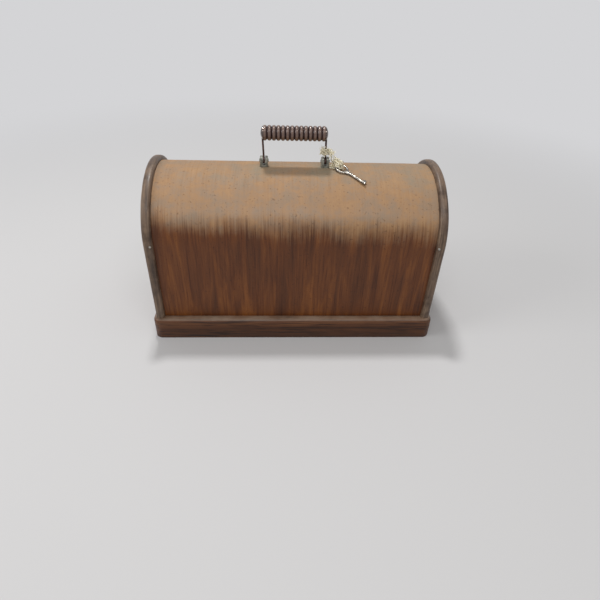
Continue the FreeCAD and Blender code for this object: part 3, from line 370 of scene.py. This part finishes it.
def metal(name, tones, rough, grit, metallic=1.0):
    """Old metal: tones are its dark, middle and bright colours, and grit the size of its pattern."""
    material = start(name)
    place = add(material, "TexCoord")
    cloud = add(material, "TexNoise", {"Vector": place.outputs["Object"], "Scale": 1.0 / grit, "Detail": 6.0,
                                       "Roughness": 0.65})
    tone = add(material, "ValToRGB", {"Fac": cloud.outputs["Fac"]},
               stops=((0.32, tones[0]), (0.5, tones[1]), (0.68, tones[2])))
    gloss = add(material, "MapRange", {"Value": cloud.outputs["Fac"], "From Min": 0.3, "From Max": 0.7,
                                       "To Min": rough[1], "To Max": rough[0]})
    bump = add(material, "Bump", {"Height": cloud.outputs["Fac"], "Strength": 0.4, "Distance": 0.0002})
    return finish_with(material, add(material, "BsdfPrincipled", {
        "Base Color": tone.outputs["Color"], "Roughness": gloss.outputs["Result"], "Metallic": metallic,
        "Normal": bump.outputs["Normal"]}))


# Rim pins: four round-headed steel pins, driven through the rims' legs into the shell. Handling has
# polished their heads, so each shows as a bright point.
bright_steel = metal("bright_steel_pins", ("#77736c", "#a5a199", "#cfcbc2"), (0.22, 0.4), 0.004)
finish_node("rim_pins", bright_steel)

# Lugs: malleable iron forks, tumbled smooth and dulled to grey-green, on studs through the crown. Each
# has a riveted cross pin, and inside a curved plate and a hexagon nut.
lug_iron = metal("tarnished_malleable_iron", ("#585850", "#898980", "#aeaea4"), (0.35, 0.6), 0.005, 0.6)
for label in ("left", "right"):
    eased(f"{label}_lug", f"{label}_lug_iron", lug_iron)
    finish_node(f"{label}_lug_pin", lug_iron)
    finish_node(f"{label}_backing_plate", lug_iron)
    finish_node(f"{label}_nut", lug_iron)

# Bail: a 2.8 mm steel rod bent round the grip, with a flat eye forged at each foot. Its blueing has
# browned. A domed steel cap sits over each bend, slotted for the leg.
rod_steel = metal("browned_steel_rod", ("#2b1c18", "#4a332c", "#6d5148"), (0.35, 0.6), 0.006, 0.6)
finish_node("bail_rod", rod_steel)
cap_steel = metal("browned_polished_steel_caps", ("#3a302d", "#675c57", "#a59b92"), (0.1, 0.26), 0.004)
for label in ("left", "right"):
    finish_node(f"{label}_grip_cap", cap_steel)

# Grip: turned beech with fourteen rings, stained dark and polished by hands. The colour is painted dark in
# the grooves and pale on the rings' crests: partly dirt and wear, partly painted shade in the grooves and a
# painted highlight on the crests. Its bore is flared where the rod's bends begin.
GRIP_X, GRIP_Z = -3.3 * MM, 290.781 * MM
GRIP_LONG, GRIP_HALF_THICK, RING_COUNT, RING_DEEP, RING_END = 87.8 * MM, 10.6 * MM, 14, 2.2 * MM, 1.65 * MM
BORE, BORE_MOUTH, FLARE_DEEP = 1.45 * MM, 2.05 * MM, 1.2 * MM
grip_wood = start("polished_turned_beech")
place = add(grip_wood, "TexCoord")
centred = add(grip_wood, "Mapping", {"Vector": place.outputs["Object"],
                                     "Location": (0.0, 0.0, -GRIP_Z), "Scale": (0.0, 1.0, 1.0)})
radius = add(grip_wood, "VectorMath", {0: centred.outputs["Vector"]}, operation="LENGTH")
# Painted shade and highlight, together with dirt and wear: darker towards the grooves, paler on the crests.
crest_sheen_and_groove_shade = add(grip_wood, "MapRange", {"Value": radius.outputs["Value"],
                                    "From Min": GRIP_HALF_THICK - RING_DEEP,
                                    "From Max": GRIP_HALF_THICK + 0.1 * MM})
grain = add(grip_wood, "TexNoise", {"Vector": stretched(grip_wood, (40, 600, 600)), "Scale": 1.0,
                                    "Detail": 4.0})
mixed = add(grip_wood, "Math", {0: grain.outputs["Fac"], 1: 0.3, 2: -0.15}, operation="MULTIPLY_ADD")
tone_mix = add(grip_wood, "Math", {0: crest_sheen_and_groove_shade.outputs["Result"], 1: mixed.outputs[0]}, operation="ADD")
tone = add(grip_wood, "ValToRGB", {"Fac": tone_mix.outputs[0]},
           stops=((0.0, "#160d0b"), (0.4, "#35221e"), (0.75, "#513934"), (1.0, "#7a6253")))
bump = add(grip_wood, "Bump", {"Height": grain.outputs["Fac"], "Strength": 0.2, "Distance": 0.0002})
grip_finish = finish_with(grip_wood, add(grip_wood, "BsdfPrincipled", {
    "Base Color": tone.outputs["Color"], "Roughness": 0.34, "IOR": 1.5, "Normal": bump.outputs["Normal"],
    "Coat Weight": 0.35, "Coat Roughness": 0.15}))
mesh = bmesh.new()
step = (GRIP_LONG - 2 * RING_END) / (RING_COUNT - 1)
bulge = ((step / 2) ** 2 + RING_DEEP ** 2) / (2 * RING_DEEP)
ring_heart = GRIP_HALF_THICK - bulge
half_arc, end_arc = math.asin(step / 2 / bulge), math.asin(RING_END / bulge)
start_x = GRIP_X - GRIP_LONG / 2
mouth = ((FLARE_DEEP, BORE), (0, BORE_MOUTH), (0, ring_heart + bulge * math.cos(end_arc)))
left_end = [mesh.verts.new((start_x + x, 0, GRIP_Z + out)) for x, out in mouth]
geom = [left_end[-1]]
for at in range(RING_COUNT):
    turned = (end_arc if at == 0 else half_arc) + (end_arc if at == RING_COUNT - 1 else half_arc)
    made = bmesh.ops.spin(mesh, geom=geom, cent=(start_x + RING_END + step * at, 0, GRIP_Z + ring_heart),
                          axis=(0, 1, 0), angle=turned, steps=10, use_duplicate=False)
    geom = [piece for piece in made["geom_last"] if isinstance(piece, bmesh.types.BMVert)]
right_end = geom + [mesh.verts.new((start_x + GRIP_LONG - x, 0, GRIP_Z + out)) for x, out in mouth[-2::-1]]
for spots in (left_end, right_end, (left_end[0], right_end[-1])):
    for before, after in zip(spots, spots[1:]):
        mesh.edges.new((before, after))
bmesh.ops.spin(mesh, geom=list(mesh.verts) + list(mesh.edges), cent=(0, 0, GRIP_Z), axis=(1, 0, 0),
               angle=2 * math.pi, steps=56, use_merge=True, use_duplicate=False)
bmesh.ops.remove_doubles(mesh, verts=mesh.verts, dist=MERGE)
bmesh.ops.recalc_face_normals(mesh, faces=mesh.faces)
stand(mesh, "grip_turning", grip_finish, "grip", ("grip",))

# Lock and catch: a sheet-steel case on a plate screwed inside the right rail, with a brass hub that turns
# a steel hook, a brass plate round the keyhole, and a slotted steel plate in the left rail. Oil has kept
# the steel grey, and the brass has browned.
lock_steel = metal("oiled_sheet_steel", ("#3d3a37", "#66625c", "#8a857d"), (0.35, 0.55), 0.006)
old_brass = metal("tarnished_brass", ("#5c4520", "#94743a", "#bd9a55"), (0.3, 0.5), 0.006)
for name in ("lock_plate", "lock_case", "lock_hook", "lock_screws", "catch_plate", "catch_screws"):
    finish_node(name, lock_steel)
for name in ("lock_hub", "keyhole_plate", "keyhole_plate_pins"):
    finish_node(name, old_brass)

# Key: a steel key with an oval bow, a flat neck and a piped shank, nickelled once and silvery with dark
# stains. It lies on the dome where its string lets it reach.
KEY_LONG, SHANK, LIE_GAP = 46.0 * MM, 3.6 * MM, 0.3 * MM
KEY_PLACE, KEY_DOWN, KEY_TURN = 82.55 * MM, 29.5 * MM, math.radians(47)
BOW_LONG, BOW_WIDE, BOW_BAR, BOW_THIN = 21.0 * MM, 17.5 * MM, 3.2 * MM, 2.2 * MM
PIPE, PIPE_DEEP, TIP_ROUND = 0.9 * MM, 9.0 * MM, 0.5 * MM
BIT_LONG, BIT_REACH, BIT_THIN, BIT_BACK, BIT_ROUND = 5.0 * MM, 5.2 * MM, 1.6 * MM, 2.0 * MM, 0.3 * MM
key_steel = metal("worn_nickelled_key_steel", ("#45423f", "#88837c", "#c6c0b6"), (0.2, 0.4), 0.005)
mesh = bmesh.new()
flat_bar = Matrix.Diagonal((1, 1, BOW_THIN / BOW_BAR, 1)) @ Matrix.Rotation(math.pi / 2, 4, "X")
section = bmesh.ops.create_circle(mesh, segments=12, radius=BOW_BAR / 2,
                                  matrix=Matrix.Translation(((BOW_WIDE - BOW_BAR) / 2, 0, 0)) @ flat_bar)
bmesh.ops.spin(mesh, geom=section["verts"] + list(mesh.edges), cent=(0, 0, 0), axis=(0, 0, 1),
               angle=2 * math.pi, steps=48, use_merge=True, use_duplicate=False)
bmesh.ops.scale(mesh, verts=mesh.verts, vec=((BOW_LONG - BOW_BAR) / (BOW_WIDE - BOW_BAR), 1, 1))
neck_from, neck_to = BOW_LONG / 2 - BOW_BAR * 0.6, BOW_LONG / 2 + BOW_BAR * 2
neck_half = SHANK * 1.2
flat_neck = Matrix.Diagonal((1, 1, BOW_THIN / 2 / neck_half, 1)) @ Matrix.Rotation(math.pi / 2, 4, "Y")
bmesh.ops.create_cone(mesh, cap_ends=True, segments=28, radius1=neck_half, radius2=SHANK * 0.48,
                      depth=neck_to - neck_from,
                      matrix=Matrix.Translation(((neck_from + neck_to) / 2, 0, 0)) @ flat_neck)
lathe = ((BOW_LONG / 2 - BOW_BAR / 2, 0), (BOW_LONG / 2 - BOW_BAR / 2, BOW_THIN / 2), (neck_to, SHANK / 2),
         (KEY_LONG - TIP_ROUND, SHANK / 2), (KEY_LONG, SHANK / 2 - TIP_ROUND), (KEY_LONG, PIPE),
         (KEY_LONG - PIPE_DEEP, PIPE), (KEY_LONG - PIPE_DEEP, 0))
spots = [mesh.verts.new((x, 0, out)) for x, out in lathe]
sides = [mesh.edges.new(pair) for pair in zip(spots, spots[1:])]
bmesh.ops.spin(mesh, geom=spots + sides, cent=(0, 0, 0), axis=(1, 0, 0), angle=2 * math.pi, steps=28,
               use_merge=True, use_duplicate=False)
bit = bmesh.ops.create_cube(mesh, size=1.0, matrix=Matrix.Translation(
    (KEY_LONG - BIT_BACK - BIT_LONG / 2, BIT_REACH / 2, 0)) @ Matrix.Diagonal(
    (BIT_LONG, BIT_REACH, BIT_THIN, 1)))
bit_edges = {edge for vert in bit["verts"] for edge in vert.link_edges}
bmesh.ops.bevel(mesh, geom=list(bit_edges), offset=BIT_ROUND, offset_type="OFFSET", segments=3, profile=0.5,
                affect="EDGES", clamp_overlap=True, material=-1)
bmesh.ops.remove_doubles(mesh, verts=mesh.verts, dist=MERGE)
bmesh.ops.recalc_face_normals(mesh, faces=mesh.faces)
slope = math.asin(KEY_DOWN / CROWN)
up = Vector((0, -math.sin(slope), math.cos(slope)))
along = Vector((math.cos(KEY_TURN), 0, 0)) + Vector((0, -up.z, up.y)) * math.sin(KEY_TURN)
middle = Vector((KEY_PLACE, 0, CROWN_HEART)) + up * (CROWN + SHANK / 2 + LIE_GAP)
laid = Matrix((along, up.cross(along), up)).transposed().to_4x4()
bmesh.ops.transform(mesh, verts=mesh.verts, matrix=Matrix.Translation(middle - along * KEY_LONG / 2) @ laid)
stand(mesh, "key_steel", key_steel, "root", ("key",))

# String: cotton twine in three strands, yellowed and frayed. One length is tied round the handle's
# right leg and turns with it, and the free run goes through the key's bow and ends frayed.
TIE = (
    (0.045515, -0.0026, 0.268181), (0.045515, 0.0026, 0.267556), (0.040315, 0.0026, 0.266931),
    (0.040315, -0.0026, 0.266306), (0.045515, -0.0026, 0.265681), (0.045515, 0.0026, 0.265056),
    (0.040315, 0.0026, 0.264431), (0.040315, -0.0026, 0.263806), (0.05125, -0.0026, 0.263206),
    (0.05206, -0.00162, 0.257344), (0.05143, 0.0, 0.250881), (0.05629, 0.0, 0.250881),
)
RUN = (
    (0.05634, 0.0, 0.250881), (0.05886, 0.0, 0.250881), (0.061479, -0.002687, 0.250857),
    (0.062816, -0.006865, 0.249973), (0.065036, -0.010474, 0.248803), (0.064205, -0.009788, 0.243802),
    (0.060649, -0.007094, 0.244516), (0.057034, -0.004112, 0.244494), (0.053435, -0.004172, 0.243837),
    (0.050457, -0.007901, 0.24327),
)
cotton = start("yellowed_cotton_twine")
place = add(cotton, "TexCoord")
fuzz = add(cotton, "TexNoise", {"Vector": place.outputs["Object"], "Scale": 420.0, "Detail": 5.0,
                                "Roughness": 0.7})
tone = add(cotton, "ValToRGB", {"Fac": fuzz.outputs["Fac"]},
           stops=((0.3, "#c3b896"), (0.5, "#ebe3c9"), (0.7, "#faf5e6")))
bump = add(cotton, "Bump", {"Height": fuzz.outputs["Fac"], "Strength": 0.5, "Distance": 0.0003})
cotton_finish = finish_with(cotton, add(cotton, "BsdfPrincipled", {
    "Base Color": tone.outputs["Color"], "Roughness": 0.9, "Normal": bump.outputs["Normal"],
    "Sheen Weight": 0.3}))


def points_along(name, route):
    """The smooth NURBS line through a route, as points from Blender's own evaluation."""
    curve = bpy.data.curves.new(name, "CURVE")
    curve.dimensions = "3D"
    curve.resolution_u = 24
    spline = curve.splines.new("NURBS")
    spline.points.add(len(route) - 1)
    for point, spot in zip(spline.points, route):
        point.co = (*spot, 1.0)
    spline.order_u = 3
    spline.use_endpoint_u = True
    holder = bpy.data.objects.new(name, curve)
    bpy.context.scene.collection.objects.link(holder)
    bpy.context.view_layer.update()
    data = bpy.data.meshes.new_from_object(holder.evaluated_get(bpy.context.evaluated_depsgraph_get()))
    points = [vert.co.copy() for vert in data.vertices]
    bpy.data.meshes.remove(data)
    bpy.data.objects.remove(holder)
    bpy.data.curves.remove(curve)
    return points


def strand(mesh, points, thick, sides=6):
    """Add a round strand along points, closed at both ends."""
    ways = [(after - before).normalized() for before, after in zip(points, points[1:])]
    ways = [ways[0]] + [(a + b).normalized() for a, b in zip(ways, ways[1:])] + [ways[-1]]
    out = ways[0].orthogonal().normalized()
    rings = []
    for spot, way in zip(points, ways):
        out = (out - way * out.dot(way)).normalized()
        square = Matrix((out, way.cross(out), way)).transposed().to_4x4()
        made = bmesh.ops.create_circle(mesh, segments=sides, radius=thick / 2,
                                       matrix=Matrix.Translation(spot) @ square)
        rings.append(made["verts"])
    for before, after in zip(rings, rings[1:]):
        for at in range(sides):
            mesh.faces.new((before[at], before[(at + 1) % sides], after[(at + 1) % sides], after[at]))
    mesh.faces.new(list(reversed(rings[0])))
    mesh.faces.new(rings[-1])


def twine(name, route, body, node):
    """Three strands laid up round the route's smooth line."""
    points = points_along(name + "_line", route)
    mesh = bmesh.new()
    lay_length, off, thick = 5.0 * MM, 0.42 * MM, 0.96 * MM
    for number in range(3):
        travelled, path = 0.0, []
        way = (points[1] - points[0]).normalized()
        out = way.orthogonal().normalized()
        for at, spot in enumerate(points):
            if at:
                travelled += (spot - points[at - 1]).length
                way = (points[min(at + 1, len(points) - 1)] - points[at - 1]).normalized()
            out = (out - way * out.dot(way)).normalized()
            angle = 2 * math.pi * (travelled / lay_length + number / 3)
            path.append(spot + (out * math.cos(angle) + way.cross(out) * math.sin(angle)) * off)
        strand(mesh, path, thick)
    piece = stand(mesh, name, cotton_finish, body, (node,))


PIVOT_Z, OFF_DOME, CURL_STEPS = 250.881 * MM, 0.4 * MM, 9


def tuft(name, roots, body, yarns, seed, side, off_pivot):
    """Loose yarns and fibres that stand out of frayed twine and curl back to it. yarns gives each sort's
    count, reach, and least and most thickness. They stay within a distance of the handle's plane, and
    clear of its pivot and of the dome."""
    draw = random.Random(seed)
    mesh = bmesh.new()
    lowest = CROWN + OFF_DOME
    for count, reach, thin, thick in yarns:
        for number in range(count):
            root = Vector(draw.choice(roots)) + Vector([draw.uniform(-1, 1) * MM for axis in range(3)])
            way = Vector([draw.gauss(0, 1) for axis in range(3)]).normalized()
            path, spot = [root.copy()], root.copy()
            for at in range(CURL_STEPS):
                home = (root - spot) / reach
                way = (way + Vector([draw.gauss(0, 0.4) for axis in range(3)]) + home * 0.9).normalized()
                spot = spot + way * reach * 1.8 / CURL_STEPS
                spot.y = max(-side, min(side, spot.y))
                from_pivot = Vector((0, spot.y, spot.z - PIVOT_Z))
                if from_pivot.length < off_pivot:
                    spot += from_pivot.normalized() * (off_pivot - from_pivot.length)
                off_heart = Vector((0, spot.y, spot.z - CROWN_HEART))
                if off_heart.length < lowest:
                    spot += off_heart.normalized() * (lowest - off_heart.length)
                path.append(spot.copy())
            strand(mesh, path, draw.uniform(thin, thick), 4)
    return stand(mesh, name, cotton_finish, body)


tie_fray = tuft("tie_fray", TIE[2:9], "bail", (
    (150, 7 * MM, 0.15 * MM, 0.4 * MM), (30, 8 * MM, 0.9 * MM, 1.6 * MM)), 5, 5.8 * MM, 9.8 * MM)
run_fray = tuft("run_fray", RUN[1:5] + RUN[7:9], "root", (
    (170, 7 * MM, 0.15 * MM, 0.4 * MM), (34, 9 * MM, 0.9 * MM, 1.6 * MM)), 8, 16 * MM, 0.0)
twine("string_tie_twine", TIE, "bail", "string_tie")
twine("key_string_twine", RUN, "root", "key_string")

# Studio: a plain pale floor that meets the pale backdrop without an edge, because far from the object it
# has the backdrop's colour, with soft light and a camera at the photograph's place.
BACKDROP, FLOOR_HALF = "#d4d4d6", 12.0
floor_mesh = bmesh.new()
bmesh.ops.create_grid(floor_mesh, x_segments=1, y_segments=1, size=FLOOR_HALF)
floor_data = bpy.data.meshes.new("floor")
floor_mesh.to_mesh(floor_data)
floor_mesh.free()
floor = bpy.data.objects.new("floor", floor_data)
bpy.context.scene.collection.objects.link(floor)
pale_floor = start("pale_floor")
rays = add(pale_floor, "LightPath")
seen = add(pale_floor, "Math", {0: rays.outputs["Is Camera Ray"], 1: rays.outputs["Is Glossy Ray"]},
           operation="ADD", use_clamp=True)
away = add(pale_floor, "VectorMath", {0: add(pale_floor, "TexCoord").outputs["Object"]}, operation="LENGTH")
far = add(pale_floor, "MapRange", {"Value": away.outputs["Value"], "From Min": 0.45, "From Max": 1.5,
                                   "To Max": 1.0}, interpolation_type="SMOOTHSTEP")
shown = add(pale_floor, "Math", {0: far.outputs["Result"], 1: seen.outputs[0]}, operation="MULTIPLY")
paint = add(pale_floor, "BsdfPrincipled", {"Base Color": linear("#c9c8c8"), "Roughness": 0.9,
                                           "Specular IOR Level": 0.1})
haze = add(pale_floor, "Emission", {"Color": linear(BACKDROP), "Strength": 1.0})
floor_data.materials.append(finish_with(pale_floor, add(pale_floor, "MixShader", {
    0: shown.outputs[0], 1: paint.outputs[0], 2: haze.outputs[0]})))

world = bpy.data.worlds.new("studio")
bpy.context.scene.world = world
world.use_nodes = True
world.node_tree.nodes.clear()
rays = add(world, "LightPath")
also = add(world, "Math", {0: rays.outputs["Is Glossy Ray"], 1: rays.outputs["Is Transmission Ray"]},
           operation="ADD")
seen = add(world, "Math", {0: rays.outputs["Is Camera Ray"], 1: also.outputs[0]}, operation="ADD",
           use_clamp=True)
soft = add(world, "Background", {"Color": linear("#ffffff"), "Strength": 0.4})
backdrop = add(world, "Background", {"Color": linear(BACKDROP), "Strength": 1.0})
blend = add(world, "MixShader", {0: seen.outputs[0], 1: soft.outputs[0], 2: backdrop.outputs[0]})
add(world, "OutputWorld", {"Surface": blend.outputs[0]})


def lamp(name, place, target, size, power):
    """A rectangular lamp that faces a target, in metres and watts."""
    light = bpy.data.lights.new(name, "AREA")
    light.shape = "RECTANGLE"
    light.size, light.size_y = size
    light.energy = power
    holder = bpy.data.objects.new(name, light)
    bpy.context.scene.collection.objects.link(holder)
    holder.location = place
    holder.rotation_euler = (Vector(target) - Vector(place)).to_track_quat("-Z", "Y").to_euler()


lamp("ceiling_lamp", (-0.2, 0.62, 2.25), (0, 0, 0.24), (0.22, 0.22), 25)
lamp("front_lamp", (0.05, -1.25, 1.95), (0, 0, 0.2), (1.6, 0.5), 13)
lamp("left_lamp", (-1.9, -0.6, 1.2), (0, 0, 0.15), (1.0, 1.0), 13)

FOCAL_PIXELS, PICTURE_PIXELS = 468.918, 600
EYE_PLACE, EYE_TURNS = (-0.027902, -0.678269, 0.499173), (36.611, 3.515, 2.202)
eye = bpy.data.cameras.new("camera")
eye.sensor_width = 36.0
eye.lens = FOCAL_PIXELS / PICTURE_PIXELS * eye.sensor_width
camera = bpy.data.objects.new("camera", eye)
bpy.context.scene.collection.objects.link(camera)
pitch, yaw, roll = (math.radians(angle) for angle in EYE_TURNS)
ahead = Vector((math.sin(yaw) * math.cos(pitch), math.cos(yaw) * math.cos(pitch), -math.sin(pitch)))
level = Vector((math.cos(yaw), -math.sin(yaw), 0))
above = level.cross(ahead)
right = level * math.cos(roll) + above * math.sin(roll)
top = above * math.cos(roll) - level * math.sin(roll)
camera.matrix_world = Matrix.Translation(EYE_PLACE) @ Matrix(
    (right, top, -ahead)).transposed().to_4x4()
bpy.context.scene.camera = camera
bpy.context.scene.view_settings.view_transform = "Standard"
